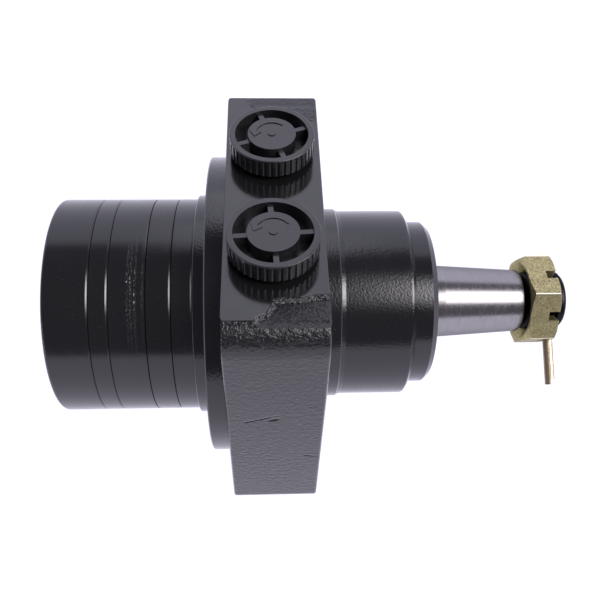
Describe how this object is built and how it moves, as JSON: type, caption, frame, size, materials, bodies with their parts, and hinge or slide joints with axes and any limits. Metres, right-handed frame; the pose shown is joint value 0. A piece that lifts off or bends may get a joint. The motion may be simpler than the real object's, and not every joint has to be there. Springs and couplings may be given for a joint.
{
  "type": "hydraulic motor",
  "caption": "Wheel-mount orbital hydraulic motor: square ported flange with a rear pilot, stacked rotor-set plates behind it, and a tapered, keyed output shaft with a slotted nut.",
  "frame": {"origin": "centre of the rear pilot on the flange's rear mounting face", "axes": "+X along the output shaft towards its threaded end, +Z the normal of the port face, +Y across the flange from port a to port b"},
  "size_m": [0.2164, 0.129, 0.1388],
  "materials": {
    "painted_cast_iron": "semi-gloss black paint over cast iron, orange peel on the raw faces",
    "painted_steel": "gloss black paint over turned steel",
    "black_oxide_steel": "black oxide",
    "ground_steel": "ground steel, fine rings around the axis",
    "yellow_zinc": "olive-yellow passivated zinc plate",
    "gold_zinc": "gold passivated zinc wire",
    "plug_plastic": "satin moulded black plastic",
    "seal_rubber": "black nitrile rubber",
    "seal_polymer": "filled polymer",
    "hardened_steel": "hardened and ground steel",
    "sintered_iron": "lapped sintered iron",
    "bearing_steel": "hardened bearing steel",
    "bearing_cage": "pressed steel cage",
    "polished_steel": "polished roller steel"
  },
  "bodies": {
    "root": {"housing": "painted_cast_iron", "wear_plate": "painted_steel", "stator": "painted_steel", "manifold": "painted_steel", "commutator_ring": "painted_steel", "end_cover": "painted_steel", "end_cover_bolts": "black_oxide_steel", "body_seal_1": "seal_rubber", "body_seal_2": "seal_rubber", "body_seal_3": "seal_rubber", "body_seal_4": "seal_rubber", "body_seal_5": "seal_rubber", "inner_bearing_cup": "bearing_steel", "outer_bearing_cup": "bearing_steel", "thrust_washer_housing": "bearing_steel", "shaft_seal": "seal_rubber", "backup_washer": "bearing_steel", "dust_seal": "seal_rubber"},
    "output": {"output_shaft": "ground_steel", "shaft_key": "ground_steel", "slotted_nut": "yellow_zinc", "cotter_pin": "gold_zinc", "thrust_washer_shaft": "bearing_steel"},
    "valve": {"commutator": "sintered_iron", "commutator_seal": "seal_polymer"},
    "inner_rotor": {"rotor": "hardened_steel"},
    "link": {"drive_link": "hardened_steel"},
    "stator_roller_1": {"roller_1": "polished_steel"},
    "stator_roller_2": {"roller_2": "polished_steel"},
    "stator_roller_3": {"roller_3": "polished_steel"},
    "stator_roller_4": {"roller_4": "polished_steel"},
    "stator_roller_5": {"roller_5": "polished_steel"},
    "stator_roller_6": {"roller_6": "polished_steel"},
    "stator_roller_7": {"roller_7": "polished_steel"},
    "inner_bearing": {"inner_bearing_cage": "bearing_cage", "inner_bearing_needles": "polished_steel"},
    "outer_bearing": {"outer_bearing_cage": "bearing_cage", "outer_bearing_needles": "polished_steel"},
    "thrust_bearing": {"thrust_cage": "bearing_cage", "thrust_rollers": "polished_steel"},
    "plug_a": {"port_plug_a": "plug_plastic", "port_seal_a": "seal_rubber"},
    "plug_b": {"port_plug_b": "plug_plastic", "port_seal_b": "seal_rubber"}
  },
  "joints": [
    {"name": "shaft_spin", "type": "hinge", "parent": "root", "child": "output", "pos_m": [0, 0, 0], "axis": [1, 0, 0], "continuous": true},
    {"name": "valve_orbit", "type": "hinge", "parent": "root", "child": "valve", "pos_m": [0, 0, 0], "axis": [1, 0, 0], "continuous": true},
    {"name": "rotor_spin", "type": "hinge", "parent": "valve", "child": "inner_rotor", "pos_m": [-0.0259, 0, -0.0026], "axis": [1, 0, 0], "continuous": true},
    {"name": "link_spin", "type": "hinge", "parent": "valve", "child": "link", "pos_m": [0.022, 0, 0], "axis": [0.9985, 0, 0.0542], "continuous": true},
    {"name": "roller_1_spin", "type": "hinge", "parent": "root", "child": "stator_roller_1", "pos_m": [-0.0259, 0, 0.029], "axis": [1, 0, 0], "continuous": true},
    {"name": "roller_2_spin", "type": "hinge", "parent": "root", "child": "stator_roller_2", "pos_m": [-0.0259, -0.02267, 0.01808], "axis": [1, 0, 0], "continuous": true},
    {"name": "roller_3_spin", "type": "hinge", "parent": "root", "child": "stator_roller_3", "pos_m": [-0.0259, -0.02827, -0.00645], "axis": [1, 0, 0], "continuous": true},
    {"name": "roller_4_spin", "type": "hinge", "parent": "root", "child": "stator_roller_4", "pos_m": [-0.0259, -0.01258, -0.02613], "axis": [1, 0, 0], "continuous": true},
    {"name": "roller_5_spin", "type": "hinge", "parent": "root", "child": "stator_roller_5", "pos_m": [-0.0259, 0.01258, -0.02613], "axis": [1, 0, 0], "continuous": true},
    {"name": "roller_6_spin", "type": "hinge", "parent": "root", "child": "stator_roller_6", "pos_m": [-0.0259, 0.02827, -0.00645], "axis": [1, 0, 0], "continuous": true},
    {"name": "roller_7_spin", "type": "hinge", "parent": "root", "child": "stator_roller_7", "pos_m": [-0.0259, 0.02267, 0.01808], "axis": [1, 0, 0], "continuous": true},
    {"name": "inner_bearing_spin", "type": "hinge", "parent": "root", "child": "inner_bearing", "pos_m": [0, 0, 0], "axis": [1, 0, 0], "continuous": true},
    {"name": "outer_bearing_spin", "type": "hinge", "parent": "root", "child": "outer_bearing", "pos_m": [0, 0, 0], "axis": [1, 0, 0], "continuous": true},
    {"name": "thrust_bearing_spin", "type": "hinge", "parent": "root", "child": "thrust_bearing", "pos_m": [0, 0, 0], "axis": [1, 0, 0], "continuous": true},
    {"name": "port_plug_a_pull", "type": "slide", "parent": "root", "child": "plug_a", "axis": [0, 0, 1], "range_m": [0, 0.03]},
    {"name": "port_plug_b_pull", "type": "slide", "parent": "root", "child": "plug_b", "axis": [0, 0, 1], "range_m": [0, 0.03]}
  ],
  "couplings": [
    {"joint": "valve_orbit", "follows": "shaft_spin", "ratio": -6},
    {"joint": "rotor_spin", "follows": "shaft_spin", "ratio": 7},
    {"joint": "link_spin", "follows": "shaft_spin", "ratio": 7},
    {"joint": "roller_1_spin", "follows": "shaft_spin", "ratio": -4.289},
    {"joint": "roller_2_spin", "follows": "shaft_spin", "ratio": -4.289},
    {"joint": "roller_3_spin", "follows": "shaft_spin", "ratio": -4.289},
    {"joint": "roller_4_spin", "follows": "shaft_spin", "ratio": -4.289},
    {"joint": "roller_5_spin", "follows": "shaft_spin", "ratio": -4.289},
    {"joint": "roller_6_spin", "follows": "shaft_spin", "ratio": -4.289},
    {"joint": "roller_7_spin", "follows": "shaft_spin", "ratio": -4.289},
    {"joint": "inner_bearing_spin", "follows": "shaft_spin", "ratio": 0.4606},
    {"joint": "outer_bearing_spin", "follows": "shaft_spin", "ratio": 0.4601},
    {"joint": "thrust_bearing_spin", "follows": "shaft_spin", "ratio": 0.5}
  ]
}
